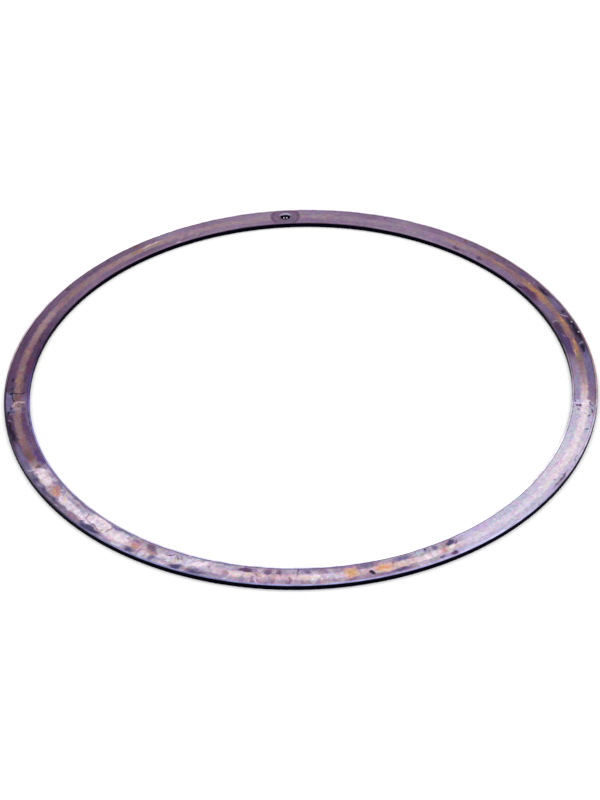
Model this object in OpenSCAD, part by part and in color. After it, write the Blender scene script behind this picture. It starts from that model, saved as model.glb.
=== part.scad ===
// Decorated juggling ring: a slim moulded plastic core with a recess in each face,
// lengths of metallised film stuck in the recesses, a splice patch over the film's
// butt joint, and one hollow rivet set in a pair of wells.
// Origin at the centre of the ring on the surface it lies on, +Z up.
// Angles are measured anticlockwise from +X, seen from above.

/* [Ring] */
// Outside diameter of the ring
ring_od = 320; // [240:5:400]
// Thickness of the core, face to face
core_t = 3; // [2.6:0.1:6]
// Radius on the four long edges of the core
edge_r = 0.4; // [0.2:0.05:0.6]
// Bare flat rim between the rounded edge and the recess
rim_flat = 0.6; // [0.2:0.05:2]

/* [Film] */
// Width of the decorative film
film_w = 11.5; // [9:0.5:30]
// Thickness of one layer of film
film_t = 0.1; // [0.05:0.01:0.15]
// How far the upper layer of film lies below the rim
film_sink = 0.05; // [0.02:0.01:0.15]
// Clearance between each edge of the film and the recess
film_gap = 0.1; // [0.05:0.05:0.3]

/* [Film joints] */
// Angle of the butt joint between the two lengths of film
butt_angle = 184; // [170:0.5:200]
// Gap left open at the butt joint
butt_gap = 0.3; // [0.1:0.1:1]
// Length of the splice patch that covers the butt joint
splice_len = 19; // [10:1:40]
// Angle at which the far length of film starts, below the lap
lap_angle = 351; // [330:0.5:360]
// Length of the near film that lies over the far film
lap_len = 3.5; // [1.5:0.5:10]

/* [Rivet] */
// Angle at which the rivet stands
rivet_angle = 92.3; // [70:0.1:110]
// Diameter of the round well around each end of the rivet
well_d = 5.6; // [4.8:0.1:8]
// Depth of each well below the rim
well_depth = 1.15; // [0.9:0.05:1.15]
// Outside diameter of the rivet's tube
rivet_d = 1.8; // [1.4:0.1:2.2]
// Bore through the rivet
rivet_bore = 0.8; // [0.4:0.1:1]
// Radius of the rolled rim at each end of the rivet
roll_r = 0.4; // [0.3:0.05:0.5]
// Clearance between the tube and its hole
rivet_gap = 0.05; // [0.02:0.01:0.1]
// Clearance between the film and the edge of the well
trim_gap = 0.1; // [0.05:0.05:0.3]

/* [Hidden] */
$fn = 180;
eps = 0.01;
recess_w = film_w + 2 * film_gap;
recess_depth = 2 * film_t + film_sink;
band_w = recess_w + 2 * (rim_flat + edge_r);
outer_r = ring_od / 2;
inner_r = outer_r - band_w;
mid_r = outer_r - band_w / 2;
web_t = core_t - 2 * well_depth;
step_len = 2 * film_t;
over_cut = sweep_of(1);

// Angle that a length along the middle of the band takes up
function sweep_of(length) = length / mid_r * 180 / PI;

// Places its children at the rivet, upright
module at_rivet() {
    rotate([0, 0, rivet_angle])
        translate([mid_r, 0, 0])
            children();
}

// Turns a piece made for the top face over onto the bottom face
module on_bottom_face() {
    translate([0, 0, core_t])
        mirror([0, 0, 1])
            children();
}

// Outline across the core, with rounded corners, standing on the rest surface
module core_outline() {
    translate([inner_r, edge_r])
        square([band_w, core_t - 2 * edge_r]);
    translate([inner_r + edge_r, 0])
        square([band_w - 2 * edge_r, core_t]);
    for (x = [inner_r + edge_r, outer_r - edge_r])
        for (y = [edge_r, core_t - edge_r])
            translate([x, y])
                circle(r = edge_r);
}

// Outline of the two film recesses
module recess_outline() {
    for (y = [-eps, core_t - recess_depth])
        translate([mid_r - recess_w / 2, y])
            square([recess_w, recess_depth + eps]);
}

module ring_core() {
    color("#15131a")
        difference() {
            rotate_extrude()
                difference() {
                    core_outline();
                    recess_outline();
                }
            at_rivet() {
                for (z = [-eps, core_t - well_depth])
                    translate([0, 0, z])
                        cylinder(d = well_d, h = well_depth + eps);
                cylinder(d = rivet_d + 2 * rivet_gap, h = core_t);
            }
        }
}

// Height above the rest surface of the top of a number of layers of film
function film_top(layers) = core_t - recess_depth + layers * film_t;

// Sector of the film's band on the top face, between two angles and two heights
module film_sector(start, end, low, high, width = film_w) {
    rotate([0, 0, start])
        rotate_extrude(angle = end - start)
            translate([mid_r - width / 2, low])
                square([width, high - low]);
}

// Long film round the far side, trimmed to the edge of the rivet's well
module far_film() {
    end = butt_angle + 360 - sweep_of(butt_gap / 2);
    difference() {
        film_sector(lap_angle, end, film_top(0), film_top(1));
        at_rivet()
            cylinder(d = well_d + 2 * trim_gap, h = core_t + eps);
    }
}

// Film along the near side, whose end steps up and laps over the far film
module near_film() {
    start = butt_angle + sweep_of(butt_gap / 2);
    step_end = lap_angle - sweep_of(butt_gap);
    step_start = step_end - sweep_of(step_len);
    end = lap_angle + sweep_of(lap_len);
    difference() {
        film_sector(start, end, film_top(0), film_top(2));
        film_sector(start - over_cut, step_start, film_top(1), core_t, recess_w);
        film_sector(step_end, end + over_cut, 0, film_top(1), recess_w);
    }
}

// Short piece of film stuck across the butt joint
module splice_patch() {
    half = sweep_of(splice_len / 2);
    film_sector(butt_angle - half, butt_angle + half, film_top(1), film_top(2));
}

module far_film_top() {
    color("#86708c")
        far_film();
}

module near_film_top() {
    color("#c9bccb")
        near_film();
}

module splice_patch_top() {
    color("#6b6684")
        splice_patch();
}

module far_film_bottom() {
    color("#86708c")
        on_bottom_face()
            far_film();
}

module near_film_bottom() {
    color("#c9bccb")
        on_bottom_face()
            near_film();
}

module splice_patch_bottom() {
    color("#6b6684")
        on_bottom_face()
            splice_patch();
}

// Tube with a rolled rim at each end, seated on the web between the two wells
module hollow_rivet() {
    color("#4a4552")
        at_rivet()
            difference() {
                union() {
                    translate([0, 0, well_depth])
                        cylinder(d = rivet_d, h = web_t);
                    rivet_roll();
                    on_bottom_face()
                        rivet_roll();
                }
                cylinder(d = rivet_bore, h = core_t);
            }
}

// Rolled rim at the top of the tube: the upper half of a torus, flat on the web
module rivet_roll() {
    translate([0, 0, core_t - well_depth])
        rotate_extrude()
            intersection() {
                translate([rivet_d / 2, 0])
                    circle(r = roll_r);
                square([rivet_d / 2 + roll_r, roll_r]);
            }
}

ring_core();
far_film_top();
near_film_top();
splice_patch_top();
far_film_bottom();
near_film_bottom();
splice_patch_bottom();
hollow_rivet();
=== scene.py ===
# Decorated juggling ring: a black moulded core, metallised film on both faces, one hollow rivet.
import math

import bmesh
import bpy
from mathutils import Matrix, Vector, noise


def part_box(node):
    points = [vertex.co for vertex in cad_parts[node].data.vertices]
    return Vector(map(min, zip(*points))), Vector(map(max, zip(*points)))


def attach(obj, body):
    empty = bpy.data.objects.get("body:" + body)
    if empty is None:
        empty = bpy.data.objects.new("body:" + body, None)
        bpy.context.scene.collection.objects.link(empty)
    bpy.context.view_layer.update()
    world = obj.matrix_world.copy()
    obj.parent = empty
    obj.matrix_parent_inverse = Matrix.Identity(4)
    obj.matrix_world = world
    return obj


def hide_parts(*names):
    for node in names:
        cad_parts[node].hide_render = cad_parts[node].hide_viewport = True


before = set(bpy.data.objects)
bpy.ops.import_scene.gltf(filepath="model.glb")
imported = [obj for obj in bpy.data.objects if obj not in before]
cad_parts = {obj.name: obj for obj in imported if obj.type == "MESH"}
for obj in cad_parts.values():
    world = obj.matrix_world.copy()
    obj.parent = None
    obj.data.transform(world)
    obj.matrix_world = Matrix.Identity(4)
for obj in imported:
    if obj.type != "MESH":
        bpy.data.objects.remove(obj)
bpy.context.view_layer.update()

MM = 0.001


# Camera
# It looks down on the ring from the front, over the near side of the band, with
# a long lens. The ring leans a little in the view, so the camera is rolled.
camera_place = Vector((0.0, -1.2075, 0.9869))
camera_aim = Vector((-0.0005, -0.0111, 0.0))
camera_roll = math.radians(-1.58)

lens = bpy.data.cameras.new("camera")
lens.lens = 129.75
lens.sensor_width = 36
camera = bpy.data.objects.new("camera", lens)
camera.location = camera_place
camera.rotation_euler = (camera_aim - camera_place).to_track_quat("-Z", "Y").to_euler()
camera.rotation_euler.rotate_axis("Z", camera_roll)
bpy.context.scene.collection.objects.link(camera)
bpy.context.scene.camera = camera
bpy.context.scene.view_settings.view_transform = "Standard"


# Floor and light
# A pale floor under an even white surround. A broad softbox overhead lifts the
# floor, and two tall strip lights at the sides put the glints on rounded edges.
def pigment(red, green, blue):
    """A colour given on the usual 0 to 255 scale, as linear light."""
    share = [level / 255 for level in (red, green, blue)]
    light = [s / 12.92 if s <= 0.04045 else ((s + 0.055) / 1.055) ** 2.4 for s in share]
    return (*light, 1.0)


def softbox(name, place, width, height, watts, tint):
    """A soft lamp that faces the middle of the ring."""
    lamp = bpy.data.lights.new(name, "AREA")
    lamp.shape = "RECTANGLE"
    lamp.size = width
    lamp.size_y = height
    lamp.energy = watts
    lamp.color = tint
    box = bpy.data.objects.new(name, lamp)
    box.location = place
    box.rotation_euler = (-Vector(place)).to_track_quat("-Z", "Y").to_euler()
    bpy.context.scene.collection.objects.link(box)


surround = bpy.data.worlds.new("surround")
surround.use_nodes = True
sky = surround.node_tree.nodes["Background"].inputs
sky["Color"].default_value = (0.985, 0.99, 1.0, 1)
sky["Strength"].default_value = 0.88
bpy.context.scene.world = surround
softbox("overhead_softbox", (0.0, 0.1, 1.6), 2.2, 2.2, 14.5, (1.0, 0.99, 0.97))
softbox("left_strip", (-1.3, 0.1, 0.75), 0.12, 1.2, 2, (1.0, 1.0, 1.0))
softbox("right_strip", (1.3, 0.1, 0.75), 0.12, 1.2, 2, (1.0, 1.0, 1.0))

ground = bmesh.new()
bmesh.ops.create_grid(ground, x_segments=2, y_segments=2, size=6)
floor_mesh = bpy.data.meshes.new("floor")
ground.to_mesh(floor_mesh)
ground.free()
floor = bpy.data.objects.new("floor", floor_mesh)
bpy.context.scene.collection.objects.link(floor)
paper = bpy.data.materials.new("pale_floor")
paper.use_nodes = True
matte = paper.node_tree.nodes["Principled BSDF"].inputs
matte["Base Color"].default_value = (0.93, 0.93, 0.935, 1)
matte["Roughness"].default_value = 0.9
matte["Specular IOR Level"].default_value = 0.1
floor_mesh.materials.append(paper)


# Ring core
# The moulded ring itself: glossy black plastic, rounded on its four long edges,
# with a shallow recess in each face for the film and a well at each end of the
# rivet's hole. The bare rims beside the recess are painted pale: partly rubbed by
# handling, partly a painted highlight along the rounded edges that changes round the
# ring. The wall at the back of each well carries a painted highlight.
def ring_facts(node):
    """Radii and heights, in metres, that a CAD node reaches round the ring's axis."""
    corners = [v.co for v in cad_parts[node].data.vertices]
    radii = [math.hypot(c.x, c.y) for c in corners]
    heights = [c.z for c in corners]
    return min(radii), max(radii), min(heights), max(heights)


def span_of(node, middle):
    """First and last angle, in degrees, of a CAD node that lies round a middle angle."""
    turns = []
    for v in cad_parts[node].data.vertices:
        angle = math.degrees(math.atan2(v.co.y, v.co.x))
        turns.append((angle - middle + 180) % 360 - 180 + middle)
    return min(turns), max(turns)


inner_r, outer_r, base_z, top_z = ring_facts("ring_core")
film_inner_r, film_outer_r, film_low, film_high = ring_facts("far_film_top")
rivet_low, rivet_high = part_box("hollow_rivet")
rivet_place = (rivet_low + rivet_high) / 2
rivet_angle = math.degrees(math.atan2(rivet_place.y, rivet_place.x))
mid_r = (inner_r + outer_r) / 2
band_w = outer_r - inner_r
film_gap = 0.1 * MM
recess_depth = top_z - film_low
edge_r = 0.4 * MM
lip_r = 0.05 * MM
well_r = 2.8 * MM
well_depth = 1.15 * MM
core_steps = 720


def add_piece(name, mesh):
    """Puts a mesh in the scene as a named piece."""
    piece = bpy.data.objects.new(name, mesh)
    bpy.context.scene.collection.objects.link(piece)
    return piece


def turned_piece(name, shape, material):
    """Turns a finished bmesh into a piece, smooth but for its real edges."""
    bmesh.ops.recalc_face_normals(shape, faces=shape.faces)
    mesh = bpy.data.meshes.new(name)
    shape.to_mesh(mesh)
    shape.free()
    mesh.materials.append(material)
    mesh.shade_smooth()
    mesh.set_sharp_from_angle(angle=math.radians(40))
    return add_piece(name, mesh)


def revolve(shape, outline, steps):
    """Spins a closed outline of (radius, height) once round the upright axis."""
    corners = [shape.verts.new((radius, 0, height)) for radius, height in outline]
    sides = [shape.edges.new((corners[i], corners[(i + 1) % len(corners)]))
             for i in range(len(corners))]
    bmesh.ops.spin(shape, geom=corners + sides, cent=(0, 0, 0), axis=(0, 0, 1),
                   angle=2 * math.pi, steps=steps, use_merge=True)


def bevel_circles(shape, radii, offset, segments):
    """Bevels the edges that run along those radii, on the top and the bottom face."""
    def on_circle(edge, radius, height):
        return all(abs(math.hypot(v.co.x, v.co.y) - radius) < 0.01 * MM
                   and abs(v.co.z - height) < 0.01 * MM for v in edge.verts)

    edges = [e for e in shape.edges for r in radii for z in (base_z, top_z) if on_circle(e, r, z)]
    bmesh.ops.bevel(shape, geom=edges, offset=offset, segments=segments, profile=0.5,
                    affect="EDGES", material=-1)


def cut_wells(piece, radius, heights):
    """Drills a round well at the rivet into the face at each height, then keeps the result."""
    cutter_shape = bmesh.new()
    for height in heights:
        made = bmesh.ops.create_cone(cutter_shape, cap_ends=True, segments=64,
                                     radius1=radius, radius2=radius, depth=2 * well_depth)
        bmesh.ops.translate(cutter_shape, verts=made["verts"],
                            vec=(rivet_place.x, rivet_place.y, height))
    cutter_mesh = bpy.data.meshes.new("cutter")
    cutter_shape.to_mesh(cutter_mesh)
    cutter_shape.free()
    cutter = bpy.data.objects.new("cutter", cutter_mesh)
    bpy.context.scene.collection.objects.link(cutter)
    cut = piece.modifiers.new("wells", "BOOLEAN")
    cut.operation = "DIFFERENCE"
    cut.solver = "MANIFOLD"
    cut.object = cutter
    graph = bpy.context.evaluated_depsgraph_get()
    drilled = bpy.data.meshes.new_from_object(piece.evaluated_get(graph))
    piece.modifiers.clear()
    piece.data = drilled
    bpy.data.objects.remove(cutter)


core = bmesh.new()
recess_inner = film_inner_r - film_gap
recess_outer = film_outer_r + film_gap
revolve(core, [
    (inner_r, base_z), (recess_inner, base_z),
    (recess_inner, base_z + recess_depth), (recess_outer, base_z + recess_depth),
    (recess_outer, base_z), (outer_r, base_z),
    (outer_r, top_z), (recess_outer, top_z),
    (recess_outer, top_z - recess_depth), (recess_inner, top_z - recess_depth),
    (recess_inner, top_z), (inner_r, top_z),
], core_steps)
bevel_circles(core, (inner_r, outer_r), edge_r, segments=6)
bevel_circles(core, (recess_inner, recess_outer), lip_r, segments=2)


class Recipe:
    """A material's nodes, added one after another."""

    def __init__(self, name):
        self.material = bpy.data.materials.new(name)
        self.material.use_nodes = True
        self.tree = self.material.node_tree
        self.shader = self.tree.nodes["Principled BSDF"]

    def add(self, kind, *sources, **settings):
        """Adds a node; sources feed its inputs in order, as sockets or as plain values."""
        node = self.tree.nodes.new("ShaderNode" + kind)
        for key, value in settings.items():
            setattr(node, key, value)
        for place, source in enumerate(sources):
            if source is not None:
                self.feed(node.inputs[place], source)
        return node

    def feed(self, socket, source):
        if isinstance(source, bpy.types.NodeSocket):
            self.tree.links.new(source, socket)
        else:
            socket.default_value = source

    def math(self, operation, *sources):
        return self.add("Math", *sources, operation=operation).outputs[0]

    def vector(self, operation, *sources):
        return self.add("VectorMath", *sources, operation=operation).outputs[0]

    def length(self, operation, *sources):
        """The number that a LENGTH or a DISTANCE gives."""
        return self.add("VectorMath", *sources, operation=operation).outputs["Value"]

    def scaled(self, colour, share):
        node = self.add("VectorMath", colour, operation="SCALE")
        self.feed(node.inputs["Scale"], share)
        return node.outputs[0]

    def fade(self, value, start, end, low=0.0, high=1.0):
        """Low before start, high after end, smooth between them."""
        node = self.add("MapRange", value, start, end, low, high, interpolation_type="SMOOTHSTEP")
        return node.outputs[0]

    def grain(self, place, scale, detail=3.0, roughness=0.55):
        """Noise from 0 to 1."""
        return self.add("TexNoise", place, None, scale, detail, roughness).outputs[0]

    def hues(self, place, scale, detail=2.0):
        """Noise with a level of its own in each of its three colours."""
        return self.add("TexNoise", place, None, scale, detail, 0.5).outputs[1]

    def blend(self, share, under, over, mode="MIX"):
        """Over laid on under by share, both colours."""
        node = self.add("Mix", data_type="RGBA", blend_type=mode)
        for place, source in ((0, share), (6, under), (7, over)):
            self.feed(node.inputs[place], source)
        return node.outputs[2]

    def ramp(self, value, stops):
        """Colour by value, through stops of (place from 0 to 1, colour)."""
        node = self.add("ValToRGB", value)
        band = node.color_ramp
        band.elements[0].position, band.elements[0].color = stops[0]
        band.elements[1].position, band.elements[1].color = stops[-1]
        for place, colour in stops[1:-1]:
            band.elements.new(place).color = colour
        return node.outputs[0]

    def finish(self, colour, roughness, bump, bump_height, **constants):
        """Feeds the shader: sockets by name, and plain values straight on it."""
        self.feed(self.shader.inputs["Base Color"], colour)
        self.feed(self.shader.inputs["Roughness"], roughness)
        node = self.add("Bump")
        node.inputs["Strength"].default_value = 1.0
        node.inputs["Distance"].default_value = bump_height
        self.feed(node.inputs["Height"], bump)
        self.feed(self.shader.inputs["Normal"], node.outputs[0])
        for key, value in constants.items():
            self.shader.inputs[key.replace("_", " ")].default_value = value
        return self.material


# Tint of the rims by angle, counted from the right over the back: partly rubbing, partly a painted
# highlight, lighter where the light fell on the edge
outer_rub_and_highlight = [(0, (142, 119, 122)), (12, (120, 94, 102)), (24, (144, 128, 138)),
             (48, (148, 134, 142)), (60, (178, 166, 188)), (96, (180, 166, 188)),
             (120, (246, 238, 246)), (144, (218, 204, 212)), (168, (156, 130, 148)),
             (180, (62, 43, 70)), (192, (42, 27, 50)), (204, (98, 88, 118)),
             (216, (74, 66, 94)), (240, (120, 120, 164)), (252, (106, 107, 150)),
             (276, (148, 148, 192)), (288, (136, 130, 172)), (306, (176, 174, 214)),
             (324, (138, 130, 160)), (340, (172, 162, 188)), (360, (142, 119, 122))]
inner_rub_and_highlight = [(0, (132, 114, 139)), (12, (74, 59, 88)), (36, (88, 74, 99)),
             (60, (124, 108, 132)), (78, (104, 86, 106)), (96, (90, 75, 97)),
             (114, (110, 93, 114)), (144, (99, 81, 105)), (168, (58, 42, 76)),
             (180, (82, 68, 121)), (204, (126, 120, 168)), (228, (150, 144, 170)),
             (240, (190, 184, 212)), (276, (206, 202, 234)), (290, (236, 234, 250)),
             (302, (226, 221, 240)), (340, (205, 200, 216)), (360, (132, 114, 139))]


def core_plastic():
    """Near-black plastic with rims painted pale, partly rubbed and partly a painted highlight, and a
    painted highlight on the wall at the back of each well.
    """
    recipe = Recipe("core_plastic")
    place = recipe.add("TexCoord").outputs["Object"]
    x, y, z = recipe.add("SeparateXYZ", place).outputs
    flat = recipe.vector("MULTIPLY", place, (1.0, 1.0, 0.0))

    turn = recipe.math("FRACT", recipe.math("DIVIDE", recipe.math("ARCTAN2", y, x), 2 * math.pi))
    in_tint, out_tint = [recipe.ramp(turn, [(angle / 360, pigment(*tint)) for angle, tint in rub_and_highlight])
                         for rub_and_highlight in (inner_rub_and_highlight, outer_rub_and_highlight)]
    outward = recipe.fade(recipe.length("LENGTH", flat), mid_r - MM, mid_r + MM)
    uneven = recipe.fade(recipe.grain(place, 170.0, 2.0), 0.35, 0.65, 0.94, 1.38)
    tint = recipe.scaled(recipe.blend(outward, in_tint, out_tint), uneven)
    near_top = recipe.fade(z, top_z - 0.2 * MM, top_z - 0.04 * MM)
    near_base = recipe.fade(z, base_z + 0.2 * MM, base_z + 0.04 * MM)
    scuffs = recipe.grain(place, 900.0, 4.0)
    # The rims are painted pale: partly rubbed, partly a painted highlight along the rounded edges
    rubbed_and_highlit = recipe.math("MULTIPLY", recipe.math("MAXIMUM", near_top, near_base),
                         recipe.fade(scuffs, 0.2, 0.5, 0.8, 1.0))
    colour = recipe.blend(rubbed_and_highlit, pigment(3, 2, 13), tint)

    # Painted highlight: the wall at the back of each well, which faces the front, is painted pale where
    # light falls on it.
    reach = recipe.length("DISTANCE", flat, (rivet_place.x, rivet_place.y, 0.0))
    wall = recipe.math("COMPARE", reach, well_r, 0.15 * MM)
    back = recipe.fade(y, rivet_place.y + 1.4 * MM, rivet_place.y + 2.5 * MM)
    level = recipe.math("ABSOLUTE", recipe.math("SUBTRACT", z, (top_z + base_z) / 2))
    back_wall_highlight = recipe.math("MULTIPLY", recipe.math("MULTIPLY", wall, back),
                         recipe.fade(level, 0.5 * MM, 1.0 * MM))
    colour = recipe.blend(back_wall_highlight, colour, pigment(196, 194, 224))

    polish = recipe.fade(scuffs, 0.3, 0.7, 0.3, 0.46)
    swirl = recipe.grain(recipe.vector("MULTIPLY", place, (1.0, 1.0, 6.0)), 400.0, 5.0)
    return recipe.finish(colour, polish, swirl, 0.04 * MM, Specular_IOR_Level=0.008)


ring_core = turned_piece("ring_core_moulding", core, core_plastic())
cut_wells(ring_core, well_r, (top_z, base_z))
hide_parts("ring_core")
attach(ring_core, "root")


# Far film, top face
# The long strip of metallised film from the lap at the right, round the back, to
# the butt joint at the left. It is stained purple in two tracks beside a brown
# middle, stuck down in the recess and trimmed round the rivet's well.
STAIN_AND_LIGHT_COLOURS = {
    "ink": (30, 16, 42), "aubergine": (74, 52, 80), "navy": (72, 66, 104),
    "plum": (92, 66, 98), "slate": (112, 100, 138), "grape": (112, 87, 118),
    "mauve": (130, 104, 136), "heather": (144, 122, 150), "lilac": (152, 140, 170),
    "lavender": (184, 176, 202), "pearl": (204, 194, 212), "blush": (220, 204, 214),
    "rose": (198, 164, 174), "clay": (156, 130, 142), "rosewood": (134, 102, 112),
    "umber": (112, 78, 84), "bronze": (158, 118, 100), "copper": (190, 138, 126),
    "gold": (208, 158, 118), "straw": (218, 192, 164), "maroon": (94, 50, 84),
    "white": (238, 234, 244), "ochre": (166, 118, 84), "violet": (82, 60, 112),
}
film_t = film_high - film_low
film_w = film_outer_r - film_inner_r
around = 2 * math.pi * mid_r / MM  # length of the band's middle line, in millimetres
mark_reach = 1.35  # where a mark has faded out, in halves of its size
mark_fade = 0.8  # over how much of that it fades
corner_power = 2.5  # how square a mark's corners are: 2 is an ellipse
trim_taper = 4  # over how many degrees a strip's cut end pulls its vertices along
noise.seed_set(5)


def paint(shape, painted, spots, marks):
    """Lays marks over one another on the vertices, each at a spot (along, across) in millimetres.

    A mark is its angle, its place in from the outer edge, its length, width and tilt,
    its colour's name and its strength. Most marks are stains; a few are painted shade or painted highlight.
    A strength above 1 gives a crisper edge.
    """
    by_degree = {}
    for v in shape.verts:
        by_degree.setdefault(int(spots[v][0] // 1), []).append(v)
    for angle, depth, length, width, tilt, colour_name, strength in marks:
        centre = math.radians(angle) * mid_r / MM
        cos, sin = math.cos(math.radians(tilt)), math.sin(math.radians(tilt))
        colour = Vector(pigment(*STAIN_AND_LIGHT_COLOURS[colour_name]))
        spread = int(max(length, width) / 5) + 2
        for v in (v for degree in range(int(angle) - spread, int(angle) + spread + 1)
                  for v in by_degree.get(degree, [])):
            x, y, _ = spots[v][2]
            forward = abs((x - centre) * cos + (y - depth) * sin) * 2 / length
            sideways = abs((y - depth) * cos - (x - centre) * sin) * 2 / width
            if max(forward, sideways) < mark_reach:
                reach = (forward ** corner_power + sideways ** corner_power) ** (1 / corner_power)
                edge = strength * (mark_reach - reach) / mark_fade
                share = min(1.0, strength) * min(1.0, max(0.0, edge))
                v[painted] = v[painted].lerp(colour, share)


def strip(name, start, end, top, steps_per_degree, rows, lift, trim, marks, material):
    """Film between two angles: lift(angle, across) raises its face, trim(across) cuts its ends."""
    shape = bmesh.new()
    bmesh.ops.create_grid(shape, x_segments=int((end - start) * steps_per_degree),
                          y_segments=rows, size=0.5)
    painted = shape.verts.layers.float_color.new("marks")
    spots = {}
    for v in shape.verts:
        angle = start + (end - start) * (v.co.x + 0.5)
        radius = film_outer_r - film_w * (v.co.y + 0.5)
        across = (outer_r - radius) / MM
        head, tail = trim(across)
        near_head = max(0.0, 1 - (angle - start) / trim_taper)
        near_tail = max(0.0, 1 - (end - angle) / trim_taper)
        angle += head * near_head - tail * near_tail
        turned = math.radians(angle)
        v.co = (radius * math.cos(turned), radius * math.sin(turned), top + lift(angle, across) * MM)
        flat = Vector((turned * mid_r / MM, across, 0))
        drift = noise.noise_vector(flat * 0.3) * 1.0 + noise.noise_vector(flat * 1.1) * 0.5
        spots[v] = (angle, across, flat + drift)
        v[painted] = (0, 0, 0, 0)
    paint(shape, painted, spots, marks)
    uv = shape.loops.layers.uv.new("film")
    for face in shape.faces:
        for loop in face.loops:
            angle, across, _ = spots[loop.vert]
            loop[uv].uv = (angle / 360, across * MM / band_w)
    shape.normal_update()
    if sum(face.normal.z for face in shape.faces) < 0:
        bmesh.ops.reverse_faces(shape, faces=shape.faces)
    mesh = bpy.data.meshes.new(name)
    shape.to_mesh(mesh)
    shape.free()
    mesh.materials.append(material)
    mesh.shade_smooth()
    piece = add_piece(name, mesh)
    thicken = piece.modifiers.new("thickness", "SOLIDIFY")
    thicken.thickness = film_t
    thicken.offset = -1
    return piece


def stained(stops):
    """Ramp stops of (place, stain), with each stain as its colour."""
    return [(place, pigment(*STAIN_AND_LIGHT_COLOURS[colour_name])) for place, colour_name in stops]


def wandering(recipe, place):
    """The place pushed about by noise of three sizes, so that no edge of colour runs straight."""
    loose = place
    for scale, reach in ((0.35, 2.4), (1.3, 1.5), (4.0, 0.4)):
        centred = recipe.vector("SUBTRACT", recipe.hues(place, scale), (0.5, 0.5, 0.5))
        push = recipe.vector("MULTIPLY", centred, (reach, reach, 0.0))
        loose = recipe.vector("ADD", loose, push)
    return loose


def tracked(recipe, along, across, start, end, tracks, shoulders):
    """Three tracks of colour side by side, each changing along the film."""
    run = recipe.add("MapRange", along, around * start / 360, around * end / 360, 0.0, 1.0).outputs[0]
    outer, middle, inner = [
        recipe.ramp(run, stained(((angle - start) / (end - start), colour_name) for angle, colour_name in tracks[side]))
        for side in ("outer", "middle", "inner")]
    colour = recipe.blend(recipe.fade(across, shoulders[0], shoulders[0] + 1.5), outer, middle)
    return recipe.blend(recipe.fade(across, shoulders[1], shoulders[1] + 1.8), colour, inner)


def crumpled(recipe, colour, place, loose, flaked):
    """Pale flakes with broken creases between them, by how far the film is flaked."""
    skewed = recipe.add("Mapping", loose, vector_type="POINT")
    skewed.inputs["Rotation"].default_value = (0, 0, math.radians(24))
    skewed.inputs["Scale"].default_value = (0.3, 0.19, 1)
    flakes = recipe.add("TexVoronoi", skewed.outputs[0], None, 1.0)
    kind = recipe.add("SeparateXYZ", flakes.outputs["Color"]).outputs[0]
    faces = recipe.ramp(kind, stained([(0.1, "heather"), (0.3, "lavender"), (0.5, "white"),
                                       (0.7, "blush"), (0.85, "straw"), (0.95, "clay")]))
    colour = recipe.blend(recipe.math("MULTIPLY", flaked, 0.22), colour, faces)
    edges = recipe.add("TexVoronoi", skewed.outputs[0], None, 1.0, feature="DISTANCE_TO_EDGE")
    broken = recipe.fade(recipe.grain(place, 0.3, 1.0), 0.4, 0.65)
    crease = recipe.math("MULTIPLY", recipe.fade(edges.outputs["Distance"], 0.06, 0.01, 0.0, 0.6), broken)
    return recipe.blend(recipe.math("MULTIPLY", flaked, crease), colour, pigment(*STAIN_AND_LIGHT_COLOURS["mauve"]))


def marked(recipe, colour, place):
    """The painted marks laid over the colour, with ragged edges."""
    paint_layer = recipe.add("VertexColor", layer_name="marks").outputs
    ragged = recipe.math("ADD", recipe.grain(place, 1.8, 4.0, 0.65), paint_layer["Alpha"])
    cover = recipe.math("MULTIPLY", paint_layer["Alpha"], recipe.fade(ragged, 0.6, 0.95))
    hue = recipe.scaled(paint_layer["Color"], recipe.math("DIVIDE", 1.0, paint_layer["Alpha"]))
    return recipe.blend(cover, colour, hue)


def puckered(recipe, colour, place, halo):
    """A dull disc, a darker ring and a painted highlight on the far lip round the rivet at that angle."""
    centre = (around * halo / 360, band_w / MM / 2, 0.0)
    reach = recipe.length("DISTANCE", place, centre)
    depth = recipe.add("SeparateXYZ", place).outputs[1]
    disc = recipe.fade(reach, 7.6, 5.6, 0.0, 0.85)
    pucker = recipe.math("MULTIPLY", recipe.fade(reach, 5.9, 7.2), recipe.fade(reach, 9.0, 8.0, 0.0, 0.8))
    # The pale lip is a painted highlight, on the far side only, where the raised lip catches the light.
    lip_highlight = recipe.math("MULTIPLY", recipe.fade(reach, 4.2, 3.2), recipe.fade(depth, 6.6, 4.4, 0.0, 0.8))
    for share, colour_name in ((disc, "grape"), (pucker, "plum"), (lip_highlight, "lavender")):
        colour = recipe.blend(share, colour, pigment(*STAIN_AND_LIGHT_COLOURS[colour_name]))
    return colour


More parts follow.
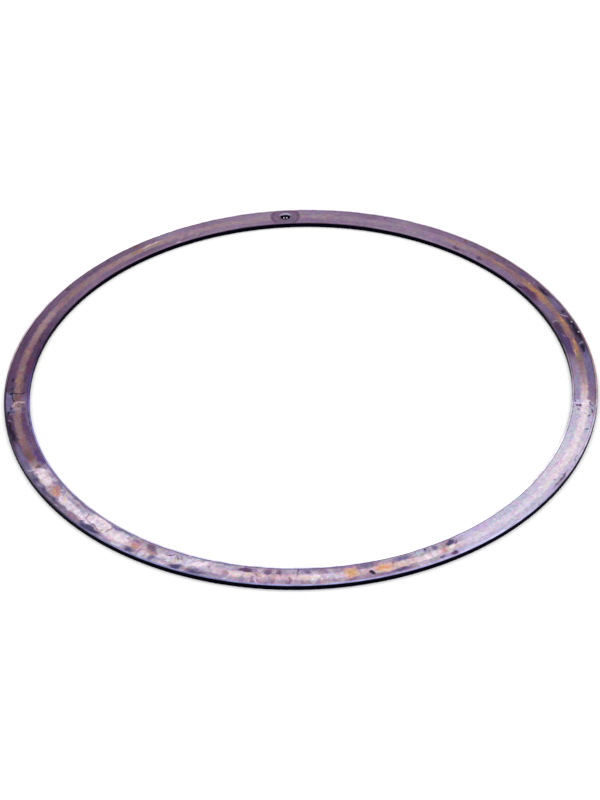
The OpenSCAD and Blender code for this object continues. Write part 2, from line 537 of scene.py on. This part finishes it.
def stained_film(name, start, end, tracks, shoulders=(4.6, 8.3), worn=None, halo=None):
    """Film whose three tracks change along it, with its painted marks laid over them.

    Shoulders is how far in from the outer edge the middle track starts and ends, worn is
    the stretch between two angles where the face is crumpled and flaking, and halo is the
    angle of the rivet that has puckered the film round it.
    """
    recipe = Recipe(name)
    flat = recipe.add("UVMap", uv_map="film").outputs[0]
    place = recipe.vector("MULTIPLY", flat, (around, band_w / MM, 0.0))
    loose = wandering(recipe, place)
    along, across, _ = recipe.add("SeparateXYZ", loose).outputs
    colour = tracked(recipe, along, across, start, end, tracks, shoulders)
    flaked = 0.0
    if worn:
        head, tail = [around * angle / 360 for angle in worn]
        flaked = recipe.math("MULTIPLY", recipe.fade(along, head, head + 8),
                             recipe.fade(along, tail, tail - 8))
        colour = crumpled(recipe, colour, place, loose, flaked)
    colour = marked(recipe, colour, place)
    if halo:
        colour = puckered(recipe, colour, place, halo)

    streaks = recipe.grain(recipe.vector("MULTIPLY", place, (0.09, 2.4, 0.0)), 1.0, 4.0)
    bars = recipe.grain(recipe.vector("MULTIPLY", loose, (0.6, 0.16, 0.0)), 1.0, 2.0)
    cloud = recipe.grain(loose, 0.45, 2.0, 0.5)
    for share, stretch, detail in ((0.5, (0.7, 1.3, 0.0), 2.0), (0.28, (0.16, 0.5, 0.0), 1.0)):
        drawn = recipe.vector("MULTIPLY", place, stretch)
        colour = recipe.blend(share, colour, recipe.hues(drawn, 1.0, detail), mode="OVERLAY")
    blotch = recipe.math("ADD", recipe.fade(bars, 0.3, 0.7, -1.0, 1.0),
                         recipe.fade(cloud, 0.3, 0.7, -1.0, 1.0))
    tone = recipe.math("MULTIPLY", blotch, recipe.math("MULTIPLY_ADD", flaked, 0.03, 0.04))
    tone = recipe.math("ADD", tone, recipe.fade(streaks, 0.25, 0.75, -0.1, 0.1))
    colour = recipe.scaled(colour, recipe.math("ADD", tone, 1.0))
    roughness = recipe.fade(cloud, 0.3, 0.7, 0.26, 0.4)
    relief = recipe.math("ADD", streaks, cloud)
    return recipe.finish(colour, roughness, relief, 0.012 * MM, Metallic=0.9, Specular_IOR_Level=0.3)


far_start, far_end = span_of("far_film_top", 87.5)
far_tracks = {
    "outer": [(far_start, "heather"), (-5, "mauve"), (0, "slate"), (6, "slate"), (9, "navy"),
              (12, "aubergine"), (17, "aubergine"), (20, "plum"), (24, "slate"), (28, "plum"),
              (32, "grape"), (44, "grape"), (52, "mauve"), (60, "mauve"), (66, "heather"),
              (74, "mauve"), (86, "heather"), (102, "heather"), (110, "mauve"), (118, "heather"),
              (126, "grape"), (150, "grape"), (160, "plum"), (172, "plum"), (far_end, "aubergine")],
    "middle": [(far_start, "blush"), (-4, "rose"), (0, "clay"), (5, "rosewood"), (22, "rosewood"),
               (27, "bronze"), (32, "bronze"), (35, "rosewood"), (44, "rosewood"), (52, "clay"),
               (60, "heather"), (110, "clay"), (128, "clay"), (148, "rosewood"), (156, "clay"),
               (166, "rosewood"), (far_end, "rosewood")],
    "inner": [(far_start, "lilac"), (-2, "lilac"), (4, "heather"), (8, "plum"), (12, "aubergine"),
              (17, "aubergine"), (20, "grape"), (25, "mauve"), (28, "plum"), (32, "plum"),
              (35, "mauve"), (52, "mauve"), (60, "heather"), (92, "mauve"), (104, "heather"),
              (116, "mauve"), (126, "grape"), (140, "mauve"), (150, "grape"), (158, "plum"),
              (172, "aubergine"), (176, "plum"), (far_end, "plum")],
}
far_marks = [
    # the darkest stretch, at the right
    (-6.4, 1.6, 22, 0.8, 0, "umber", 0.8), (-5.2, 3.4, 9, 2.0, 0, "slate", 0.7),
    (0.5, 3.2, 6, 1.3, 0, "navy", 0.5), (-1.5, 6.8, 8, 1.3, 4, "clay", 0.9),
    (4.4, 6.8, 10, 2.0, -4, "rosewood", 0.9), (9.0, 7.0, 16, 2.4, -2, "bronze", 0.9),
    (17.0, 6.6, 16, 2.6, 0, "bronze", 0.8), (9.8, 7.0, 12, 1.5, -3, "ochre", 1.3),
    (17.5, 6.5, 14, 1.4, -2, "ochre", 1.1), (11.2, 6.7, 4.0, 0.6, -8, "gold", 1.0),
    (18.4, 6.2, 4.0, 0.6, 0, "gold", 0.9), (7.4, 8.4, 9, 0.8, -5, "straw", 0.6),
    (8.6, 3.4, 8, 1.9, -8, "ink", 1.1), (14.8, 2.6, 18, 2.5, 3, "ink", 1.4),
    (16.5, 4.4, 8, 1.0, 6, "navy", 1.2), (12.4, 5.0, 5.0, 0.8, -20, "aubergine", 1.0),
    (10.5, 3.0, 0.8, 4.5, 28, "lilac", 0.9), (13.7, 1.7, 1.2, 0.7, 0, "white", 1.3),
    (17.6, 1.8, 0.9, 0.7, 0, "white", 1.0), (19.6, 3.2, 0.9, 5.0, -38, "lilac", 1.1),
    (20.8, 3.1, 3.4, 1.6, 0, "ink", 1.0), (24.0, 2.2, 6.0, 1.2, 0, "aubergine", 0.7),
    (8.0, 9.6, 9, 1.4, 4, "plum", 1.0), (12.5, 9.4, 14, 1.0, 0, "maroon", 1.1),
    (11.0, 10.9, 19, 2.2, 2, "violet", 1.2), (16.6, 10.6, 6, 2.6, 0, "aubergine", 1.1),
    (12.0, 11.9, 22, 1.0, 0, "navy", 0.9), (13.6, 10.0, 2.4, 0.7, 40, "heather", 1.0),
    (18.8, 10.4, 1.2, 3.6, 15, "lilac", 0.9), (22.5, 10.9, 15, 2.2, 0, "slate", 0.9),
    (28.6, 3.0, 12, 1.7, 0, "aubergine", 1.0), (28.6, 3.4, 9.0, 1.3, 2, "ink", 1.3),
    (29.6, 7.0, 16, 2.4, 0, "bronze", 1.0), (29.6, 7.2, 12, 1.2, 0, "ochre", 1.3),
    (29.0, 6.4, 5.0, 0.6, 0, "gold", 0.8), (33.0, 5.9, 6, 0.7, 0, "straw", 0.6),
    (29.8, 10.2, 13, 3.2, 0, "maroon", 1.3), (30.6, 11.6, 11, 1.4, 0, "violet", 0.9),
    (32.9, 11.9, 3.2, 1.6, 0, "ink", 1.4), (32.2, 3.0, 0.8, 4.0, 30, "lilac", 0.7),
    # the streaked stretch, up to the rivet
    (35.8, 3.4, 6.0, 1.3, 0, "violet", 0.9), (38.6, 4.6, 7.0, 0.8, 4, "plum", 0.9),
    (36.0, 7.2, 7.0, 1.2, 0, "ochre", 0.5), (41.4, 3.0, 2.0, 2.4, 0, "violet", 0.8),
    (45.4, 2.4, 4.4, 2.4, 10, "umber", 1.0), (52.0, 2.6, 3.4, 2.0, -20, "umber", 1.0),
    (49.6, 3.4, 5.0, 1.0, 5, "plum", 0.7), (46.2, 10.6, 4.2, 2.6, 0, "plum", 1.2),
    (52.4, 10.8, 5.4, 2.0, -8, "plum", 1.2), (40.0, 9.8, 12, 1.4, 0, "heather", 0.5),
    (42.0, 6.4, 30, 0.7, 0, "copper", 0.8), (44.0, 7.8, 24, 0.8, 0, "bronze", 0.7),
    (54.0, 6.6, 12, 1.6, 0, "bronze", 0.8), (55.0, 6.8, 4.0, 0.9, 0, "ochre", 0.9),
    (62.0, 7.8, 6, 1.2, 0, "bronze", 0.6), (65.8, 6.4, 4.0, 1.4, 0, "clay", 0.9),
    (60.0, 4.2, 16, 1.0, 0, "plum", 0.5), (58.0, 2.2, 7, 1.2, 0, "plum", 0.5),
    (68.8, 9.6, 4.0, 1.8, 0, "slate", 0.7), (74.8, 9.8, 5.0, 1.8, 0, "slate", 0.7),
    (73.2, 2.2, 2.0, 1.4, 0, "grape", 1.2), (71.0, 2.6, 1.6, 1.8, 0, "grape", 0.9),
    # The two ink marks at 91.1 and 93.5 degrees, beside the rivet, are painted shade that widens the dark
    # of its well.
    (76.6, 2.0, 2.4, 1.4, 0, "grape", 0.8), (91.1, 6.7, 1.4, 1.3, 0, "ink", 1.4),
    (93.5, 6.7, 1.4, 1.3, 0, "ink", 1.4),
    # the quieter stretch, from the rivet down to the splice
    (112.4, 8.8, 2.6, 5.0, 10, "clay", 0.8), (112.2, 11.6, 3.0, 1.0, 0, "plum", 0.9),
    (108.2, 1.9, 3.0, 1.0, 0, "grape", 0.7), (116.4, 9.6, 2.4, 3.4, 0, "clay", 0.8),
    (116.0, 11.6, 3.0, 1.0, 0, "plum", 1.0), (117.4, 12.1, 3.0, 0.8, 0, "pearl", 1.3),
    (118.6, 2.6, 3.0, 1.6, 0, "slate", 0.6), (121.8, 3.8, 5.0, 1.4, 0, "plum", 0.6),
    (123.0, 6.0, 16, 0.8, 2, "straw", 0.9), (121.2, 7.6, 12, 1.2, 0, "bronze", 0.8),
    (126.8, 7.2, 9, 2.2, 4, "bronze", 1.1), (125.8, 2.4, 5.0, 2.4, 0, "umber", 0.9),
    (124.0, 9.8, 14, 1.4, 0, "violet", 0.6), (133.4, 2.4, 3.0, 2.4, 0, "plum", 1.2),
    (138.0, 3.2, 16, 1.8, 0, "plum", 0.8), (134.0, 7.2, 24, 1.2, 0, "bronze", 0.8),
    (135.8, 10.0, 6, 1.4, 0, "slate", 0.6), (142.6, 7.0, 6, 1.0, 0, "ochre", 0.6),
    (145.5, 2.6, 3.0, 3.6, 0, "plum", 1.3), (146.0, 7.6, 8, 1.0, 0, "bronze", 0.8),
    (156.0, 3.6, 36, 1.2, 0, "plum", 0.6), (166.0, 3.4, 16, 1.6, 0, "aubergine", 0.8),
    (158.0, 7.2, 38, 1.0, 0, "bronze", 0.7), (163.0, 10.6, 14, 1.4, 6, "maroon", 0.9),
    (163.2, 11.2, 4, 0.8, 30, "ink", 0.9), (171.8, 10.8, 14, 2.6, 0, "maroon", 1.3),
    (167.6, 7.2, 6, 1.6, 0, "bronze", 0.8), (173.8, 2.4, 5, 2.0, 0, "maroon", 0.8),
    (176.5, 6.9, 12, 1.6, 0, "bronze", 0.8), (176.8, 3.6, 3.4, 1.6, 0, "ink", 1.0),
    (179.4, 3.8, 3.0, 1.0, 20, "ink", 1.0), (178.6, 8.6, 12, 0.9, 0, "umber", 0.9),
    (176.6, 10.2, 6, 1.6, 0, "aubergine", 0.9), (162.0, 12.2, 60, 1.0, 0, "aubergine", 0.7),
    (178.0, 12.2, 14, 1.0, 0, "navy", 0.9),
]
far_film = stained_film("stained_purple_film", far_start, far_end, far_tracks, halo=rivet_angle)


def bulge(*offsets):
    """1 in the middle of a bulge, falling away smoothly; offsets are counted in its widths."""
    return math.exp(-sum(offset ** 2 for offset in offsets))


def far_lift(angle, across):
    """Slight waviness, and a pucker round the rivet's well, in millimetres."""
    wave = 0.014 * noise.noise(Vector((angle * 0.35, across * 0.25, 3.0)))
    wave += 0.006 * noise.noise(Vector((angle * 1.6, across * 0.8, 5.0)))
    reach = math.hypot(math.radians(angle - rivet_angle) * mid_r / MM, across - band_w / MM / 2)
    return wave + 0.07 * bulge((reach - 8.1) / 0.7) + 0.06 * bulge((reach - 3.2) / 0.5)


def square_cut(across):
    """Both ends were cut square."""
    return 0.0, 0.0


far_top = strip("far_film_top_strip", far_start, far_end, film_high, 6, 28,
                far_lift, square_cut, far_marks, far_film)
cut_wells(far_top, well_r + film_gap, (top_z,))
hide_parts("far_film_top")
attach(far_top, "root")


# Near film, top face
# The second strip, along the front. Its silvery lavender face is worn and stained
# through in patches on the left and smooth on the right, where its end steps up
# and laps over the far film.
near_start, near_end = span_of("near_film_top", 270)
lap_angle = far_start + 360 - 0.2
# The near strip's pale tracks are partly stain and partly a painted reflection: the front of the ring is
# painted lighter than the far strip.
near_tracks = {
    "outer": [(near_start, "aubergine"), (195, "aubergine"), (199, "grape"), (203, "slate"),
              (206, "heather"), (216, "heather"), (222, "mauve"), (229, "heather"),
              (235, "heather"), (238, "lilac"), (244, "lilac"), (248, "heather"), (254, "lilac"),
              (260, "heather"), (266, "mauve"), (272, "heather"), (276, "heather"), (288, "mauve"),
              (292, "lilac"), (302, "lavender"), (318, "lavender"), (331, "lavender"),
              (336, "pearl"), (346, "lavender"), (near_end, "lilac")],
    "middle": [(near_start, "rosewood"), (196, "rosewood"), (201, "umber"), (204, "clay"),
               (207, "blush"), (210, "blush"), (213, "rose"), (216, "pearl"), (224, "blush"),
               (233, "blush"), (236, "rose"), (239, "rose"), (243, "lavender"), (250, "lavender"),
               (255, "rose"), (258, "blush"), (262, "rose"), (267, "rose"), (272, "blush"),
               (275, "lavender"), (278, "rose"), (288, "rose"), (294, "blush"), (298, "rose"),
               (303, "pearl"), (318, "pearl"), (330, "blush"), (near_end, "blush")],
    "inner": [(near_start, "plum"), (194, "plum"), (200, "grape"), (204, "mauve"), (207, "lilac"),
              (211, "heather"), (216, "lilac"), (220, "heather"), (224, "lavender"),
              (232, "lavender"), (237, "heather"), (248, "lavender"), (256, "lilac"),
              (264, "heather"), (269, "lilac"), (274, "heather"), (282, "mauve"), (289, "heather"),
              (293, "lilac"), (299, "heather"), (303, "lavender"), (318, "lavender"),
              (330, "pearl"), (345, "lavender"), (near_end, "lavender")],
}
near_marks = [
    # the dark stretch at the left
    (192.6, 2.2, 17, 1.8, 1, "ink", 1.23), (199.5, 2.6, 16, 2.6, 0, "slate", 1.0),
    (200.8, 5.8, 8, 3.4, 12, "umber", 1.04), (201.8, 10.8, 14, 2.8, 2, "violet", 1.1),
    (190.0, 12.0, 28, 1.3, 0, "slate", 0.9), (189.4, 3.0, 0.8, 4.4, -28, "lilac", 0.7),
    (194.5, 6.5, 9, 2.2, 4, "bronze", 0.45), (197.4, 8.4, 8, 1.4, 6, "slate", 0.65),
    (205.0, 3.0, 1.2, 5.5, -20, "pearl", 0.9), (204.4, 8.3, 3.4, 2.2, 0, "umber", 1.0),
    # the worn, pale stretch
    (211.6, 2.4, 44, 3.3, 0, "navy", 0.9), (207.8, 8.0, 12, 4.8, 0, "blush", 1.6),
    (209.8, 2.6, 5.0, 2.0, 0, "lilac", 0.8), (230.7, 2.3, 3.6, 1.4, 0, "slate", 0.9),
    (206.6, 4.9, 2.4, 1.1, 0, "plum", 0.8), (207.6, 9.1, 5.0, 0.7, 4, "clay", 0.8),
    (204.6, 7.0, 2.2, 2.6, 0, "umber", 0.9), (232.8, 3.0, 6.4, 3.4, 0, "lavender", 0.9),
    (206.8, 11.4, 6, 2.0, 0, "pearl", 0.7), (208.2, 10.4, 3.4, 1.0, -10, "mauve", 0.7),
    (212.4, 6.6, 10, 5.4, -15, "clay", 0.8), (213.2, 7.2, 8.5, 4.0, -24, "copper", 1.0),
    (212.5, 8.6, 6.0, 1.0, -24, "rosewood", 0.9), (215.0, 4.6, 3.6, 0.9, -8, "umber", 0.8),
    (211.3, 5.6, 1.6, 2.0, 0, "rosewood", 0.6), (212.0, 11.4, 8, 1.8, 0, "slate", 0.8),
    (215.9, 7.8, 7.0, 1.7, -48, "straw", 0.85), (219.0, 12.1, 30, 1.3, 0, "slate", 0.8),
    (219.0, 8.0, 5.0, 3.4, 0, "blush", 0.6), (220.2, 1.7, 4.0, 1.2, 0, "bronze", 0.7),
    (222.0, 5.0, 4, 1.6, 20, "mauve", 0.55), (222.9, 9.2, 2.6, 1.1, -45, "rosewood", 0.55),
    (225.6, 2.6, 17, 3.6, 0, "navy", 1.0), (226.0, 9.4, 14.2, 7.4, 0, "mauve", 1.4),
    (225.9, 9.2, 12.2, 6.0, 0, "blush", 3.0), (226.2, 8.6, 9.0, 4.0, 0, "pearl", 0.7),
    (228.9, 8.6, 0.8, 6.0, 0, "clay", 1.2), (223.0, 8.6, 0.9, 4.4, 30, "clay", 1.3),
    (226.2, 5.5, 10, 0.8, 0, "mauve", 1.1), (224.0, 4.9, 3.0, 0.8, 0, "blush", 1.0),
    (231.6, 11.8, 15, 1.8, 0, "slate", 1.1), (231.8, 6.4, 12, 9.0, 0, "blush", 0.8),
    (235.7, 6.6, 6.2, 9.4, 0, "mauve", 0.5), (235.5, 2.6, 4.2, 3.6, 0, "navy", 0.95),
    (235.7, 7.4, 5.4, 5.6, 0, "rosewood", 0.9), (235.8, 7.2, 4.0, 4.2, 0, "copper", 1.0),
    (235.6, 8.4, 3.4, 2.0, 0, "rose", 0.7), (237.9, 3.6, 3.8, 5.4, 0, "pearl", 0.8),
    (240.2, 2.8, 3.0, 4.6, -14, "slate", 1.2), (239.3, 7.0, 6.0, 3.8, -28, "rosewood", 0.8),
    (239.5, 6.6, 4.0, 2.4, -28, "copper", 0.6), (240.4, 7.4, 3.0, 2.6, -28, "rosewood", 0.8),
    (238.9, 9.9, 7.4, 3.2, -18, "grape", 1.1), (235.6, 10.3, 4.4, 1.6, 0, "mauve", 0.9),
    (242.2, 2.6, 5.0, 3.0, 0, "pearl", 0.7), (242.8, 4.5, 9.0, 0.7, 3, "mauve", 0.8),
    (242.4, 7.4, 5.0, 3.6, 0, "blush", 0.7), (245.4, 2.8, 5.6, 3.6, 16, "navy", 1.2),
    (244.9, 7.0, 6.0, 1.3, 26, "straw", 0.8), (243.4, 9.4, 4.4, 1.0, 38, "umber", 1.1),
    (245.7, 9.2, 3.4, 0.8, -62, "umber", 0.85), (244.8, 9.0, 4.2, 0.7, -58, "umber", 1.0),
    (246.9, 4.6, 3.6, 1.4, 24, "maroon", 0.6), (249.4, 2.4, 10.5, 3.0, 4, "navy", 0.9),
    (249.6, 4.7, 5.6, 1.2, 8, "plum", 0.75), (249.2, 8.6, 10, 4.0, 24, "blush", 1.2),
    (248.8, 10.0, 8.0, 1.0, 26, "heather", 0.7), (251.6, 8.2, 1.8, 2.6, 0, "rosewood", 0.8),
    (254.8, 5.8, 3.2, 4.2, 0, "clay", 0.9), (258.6, 2.2, 10, 1.8, 0, "heather", 0.7),
    (259.0, 7.0, 6, 3.0, 0, "straw", 0.7), (258.4, 9.9, 7, 2.4, 0, "plum", 1.3),
    (260.7, 3.4, 1.0, 5.4, 28, "pearl", 0.9), (260.1, 1.9, 1.6, 1.2, 0, "navy", 0.8),
    (260.6, 7.4, 1.6, 3.2, 30, "umber", 0.75), (262.8, 9.8, 4.0, 4.2, 0, "grape", 1.1),
    (265.0, 9.8, 3.2, 4.0, 0, "grape", 1.0), (267.0, 4.2, 1.3, 5.6, 5, "grape", 0.9),
    (268.0, 3.0, 0.8, 3.6, 0, "mauve", 0.8), (269.2, 2.2, 2.8, 0.9, 60, "plum", 0.7),
    (268.5, 10.2, 0.9, 3.6, 0, "plum", 0.95), (270.4, 10.2, 3.6, 3.4, 0, "slate", 0.95),
    (270.6, 6.4, 14, 1.4, 0, "straw", 0.7), (272.3, 2.4, 2.6, 0.8, 45, "slate", 0.6),
    (274.4, 5.0, 3.0, 1.1, 50, "clay", 0.9), (250.0, 12.0, 60, 1.4, 0, "slate", 0.75),
    (274.0, 12.0, 60, 1.7, 0, "slate", 0.7),
    # the golden patches
    (278.4, 2.8, 5.6, 2.2, 0, "grape", 0.9), (278.4, 7.4, 7.4, 7.6, 0, "rose", 1.0),
    (278.6, 7.4, 5.8, 6.2, 0, "gold", 1.0), (277.6, 5.8, 2.4, 2.4, 0, "straw", 0.4),
    (278.2, 6.9, 1.3, 4.0, 0, "bronze", 0.6), (279.5, 8.8, 1.6, 3.0, 0, "bronze", 0.4),
    (281.8, 10.6, 9.0, 3.0, 0, "slate", 0.9), (280.8, 7.6, 3.0, 2.4, 25, "blush", 0.7),
    (282.8, 7.4, 1.8, 3.0, -20, "blush", 0.7), (282.35, 4.9, 4.4, 1.6, -50, "ink", 1.3),
    (286.6, 2.6, 16, 2.6, 0, "slate", 1.0), (288.0, 3.2, 9, 1.8, 0, "navy", 0.8),
    (284.9, 7.0, 9.6, 7.0, 0, "rose", 1.0), (284.8, 6.8, 7.8, 4.8, 0, "gold", 1.0),
    (285.6, 5.0, 4.4, 1.8, 0, "straw", 1.2), (283.4, 6.6, 1.4, 2.2, 10, "straw", 0.3),
    (286.8, 8.6, 1.6, 5.4, -8, "bronze", 0.85), (288.6, 6.0, 5.0, 3.2, 0, "straw", 0.7),
    (288.9, 10.4, 10.0, 3.2, 0, "slate", 0.95), (290.6, 6.4, 2.2, 0.8, 42, "maroon", 0.6),
    (293.4, 6.5, 10, 9.0, 0, "blush", 0.4), (293.8, 10.9, 1.9, 1.6, 20, "ink", 0.95),
    (296.0, 2.5, 4.0, 2.2, 0, "slate", 1.0), (298.5, 2.4, 3.6, 2.4, 0, "plum", 1.3),
    (297.0, 6.2, 3.4, 3.8, 0, "copper", 0.9), (298.9, 6.4, 2.6, 3.6, 0, "blush", 1.2),
    (300.4, 5.6, 2.4, 2.4, 0, "rose", 0.7), (300.3, 8.6, 3.0, 0.9, 45, "plum", 1.0),
    (299.2, 9.8, 4.6, 3.2, 8, "navy", 1.2), (295.8, 10.6, 3.4, 3.0, 0, "slate", 1.1),
    # the smooth run and the wrinkled lap
    (327.6, 1.8, 16, 1.3, 0, "grape", 1.2), (329.4, 2.0, 5.0, 0.9, 0, "bronze", 0.4),
    (334.4, 1.7, 7.0, 0.8, 4, "slate", 1.0), (326.8, 4.6, 1.4, 1.2, 0, "mauve", 0.8),
    (343.3, 3.1, 1.8, 1.6, 0, "slate", 1.3), (343.8, 6.6, 1.6, 0.8, 30, "heather", 0.9),
    # The plum lines from 347 to 351 degrees, across the lap, are painted shade along the folds of its
    # wrinkles.
    (347.4, 3.1, 2.6, 0.9, -25, "plum", 1.5), (349.0, 2.7, 3.4, 0.8, 8, "plum", 1.3),
    (351.0, 3.3, 4.2, 0.9, 38, "plum", 1.5), (347.8, 5.0, 4.4, 0.7, 42, "lilac", 1.0),
    (350.25, 8.7, 1.7, 1.7, 0, "maroon", 1.4), (349.0, 9.7, 1.5, 1.3, 0, "mauve", 1.1),
    (350.2, 10.5, 2.0, 1.6, 0, "plum", 1.1), (351.7, 11.7, 1.6, 1.2, 0, "plum", 1.3),
]
near_film = stained_film("pale_stained_film", near_start, near_end, near_tracks,
                         shoulders=(3.6, 7.5), worn=(204, 301))


def near_lift(angle, across):
    """Wrinkled where it is worn, smooth on the right, and stepped up at the lap."""
    worn = min(1.0, max(0.0, (302 - angle) / 6))
    wave = (0.008 + 0.016 * worn) * noise.noise(Vector((angle * 0.9, across * 0.3, 1.0)))
    wave += 0.012 * worn * noise.noise(Vector((angle * 3.0, across * 0.9, 7.0)))
    step = film_t / MM * min(1.0, max(0.0, (angle - lap_angle) / 0.3))
    blister = 0.09 * bulge((angle - 349.2) / 1.6, (across - 4.2) / 1.6)
    blister += 0.05 * bulge((angle - 350.4) / 0.8, (across - 9.6) / 1.4)
    return wave + step + blister


def near_trim(across):
    """The lapping end was cut short at its outer corner, by hand."""
    corner = 1.7 * max(0.0, 1 - (across - 1.1) / 3.4) ** 1.5
    return 0.0, corner + 0.25 * max(0.0, (across - 9) / 4)


near_top = strip("near_film_top_strip", near_start, near_end, film_high, 8, 34,
                 near_lift, near_trim, near_marks, near_film)
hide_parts("near_film_top")
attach(near_top, "root")


# Splice patch, top face
# A short piece of the same film stuck across the butt joint at the left. Its
# outer edge has lifted in a blister, and the joint below shows through as a ridge.
splice_start, splice_end = span_of("splice_patch_top", 184)
splice_high = ring_facts("splice_patch_top")[3]
splice_tracks = {
    "outer": [(splice_start, "aubergine"), (splice_start + 0.6, "slate"), (186, "slate"),
              (187, "navy"), (splice_end, "mauve")],
    "middle": [(splice_start, "rosewood"), (182, "umber"), (184, "rosewood"), (186, "clay"),
               (splice_end, "rosewood")],
    "inner": [(splice_start, "plum"), (182, "grape"), (184, "mauve"), (186, "plum"),
              (splice_end, "grape")],
}
splice_marks = [
    (183.6, 2.4, 12, 2.0, 0, "slate", 1.05), (182.2, 4.4, 7.5, 0.8, 14, "ink", 1.2),
    (185.4, 4.2, 5.5, 0.9, -16, "ink", 1.3), (184.2, 4.9, 4.0, 0.8, -4, "slate", 0.9),
    (182.3, 6.6, 6.0, 1.3, 6, "umber", 1.2), (184.3, 6.2, 5.0, 0.9, -34, "rose", 1.2),
    # Painted light over the joint: the rose line at 183.9 degrees is a painted highlight on the ridge, the
    # aubergine mark beside it painted shade below the ridge, and the two ink lines at 181 degrees a painted
    # shadow along the patch's raised end.
    (183.9, 9.2, 0.9, 5.4, 0, "rose", 1.35), (184.6, 10.6, 0.9, 3.4, 0, "aubergine", 1.05),
    (185.0, 8.0, 1.6, 1.4, 0, "umber", 0.9), (186.4, 7.0, 0.8, 3.4, 4, "umber", 0.9),
    (181.0, 4.6, 0.9, 5.0, 2, "ink", 1.2), (181.0, 9.8, 0.9, 4.6, 0, "ink", 1.1),
    (184.8, 12.2, 12, 1.2, 0, "slate", 1.35), (187.1, 2.3, 2.4, 1.2, 0, "ink", 1.2),
]
splice_film = stained_film("patch_film", splice_start, splice_end, splice_tracks)


def splice_lift(angle, across):
    """A ridge over the joint, a blister under the outer half and a raised end, in millimetres."""
    ridge = 0.02 * bulge((angle - 183.9) / 0.14)
    blister = 0.028 * bulge((angle - 184.2) / 1.4, (across - 2.6) / 1.0)
    return ridge + blister + 0.01 * bulge((angle - splice_start) / 0.25)


def splice_trim(across):
    """The ends were cut by hand, a little off square."""
    return 0.05 * math.sin(across), 0.3 * max(0.0, (across - 6) / 7)


splice_top = strip("splice_patch_top_strip", splice_start, splice_end, splice_high, 10, 34,
                   splice_lift, splice_trim, splice_marks, splice_film)
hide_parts("splice_patch_top")
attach(splice_top, "root")


# Films, bottom face
# The underside is finished like the top: the same three strips, turned over and
# stuck down in the recess below.
def turned_over(piece, name):
    """A copy of a finished top strip, mirrored onto the bottom face."""
    graph = bpy.context.evaluated_depsgraph_get()
    mesh = bpy.data.meshes.new_from_object(piece.evaluated_get(graph))
    shape = bmesh.new()
    shape.from_mesh(mesh)
    for v in shape.verts:
        v.co.z = top_z + base_z - v.co.z
    bmesh.ops.reverse_faces(shape, faces=shape.faces)
    shape.to_mesh(mesh)
    shape.free()
    mesh.name = name
    return add_piece(name, mesh)


for piece, node, slot in ((far_top, "far_film_bottom", "dark_film"),
                          (near_top, "near_film_bottom", "light_film"),
                          (splice_top, "splice_patch_bottom", "patch_film")):
    under = turned_over(piece, node + "_strip")
    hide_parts(node)
    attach(under, "root")


# Hollow rivet
# A small tube of blackened steel, rolled over at both ends onto the web between
# the two wells. The front of its rolled edge carries two painted glints: bright
# spots that stand in for reflections of the side lights.
tube_r = 0.9 * MM
bore_r = 0.4 * MM
roll_r = rivet_high.x - rivet_place.x - tube_r
seat = top_z - well_depth


def rivet_steel():
    """Blackened steel with two painted glints, bright spots on the rolled edge."""
    recipe = Recipe("blackened_steel")
    place = recipe.add("TexCoord").outputs["Object"]
    tarnish = recipe.grain(place, 1500.0, 4.0)
    colour = recipe.ramp(tarnish, [(0.35, pigment(26, 22, 34)), (0.65, pigment(52, 46, 62))])
    # Two painted glints: bright patches where the side lights would reflect on the rolled edge.
    for side in (-0.88, 0.88):
        glint_centre = (rivet_place.x + side * MM, rivet_place.y - 0.1 * MM, rivet_high.z)
        from_glint = recipe.length("DISTANCE", place, glint_centre)
        colour = recipe.blend(recipe.fade(from_glint, 0.62 * MM, 0.5 * MM), colour, pigment(246, 244, 250))
    polish = recipe.fade(tarnish, 0.3, 0.7, 0.14, 0.24)
    return recipe.finish(colour, polish, tarnish, 0.004 * MM, Metallic=1.0)


upper_roll = [(tube_r + roll_r * math.cos(math.radians(a)), seat + roll_r * math.sin(math.radians(a)))
              for a in range(0, 181, 15)]
lower_roll = [(radius, top_z + base_z - height) for radius, height in reversed(upper_roll)]
rivet = bmesh.new()
revolve(rivet, upper_roll + [(bore_r, seat), (bore_r, base_z + well_depth)] + lower_roll, 64)
bmesh.ops.translate(rivet, verts=rivet.verts, vec=(rivet_place.x, rivet_place.y, 0))
rivet_piece = turned_piece("hollow_rivet_turned", rivet, rivet_steel())
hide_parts("hollow_rivet")
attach(rivet_piece, "root")
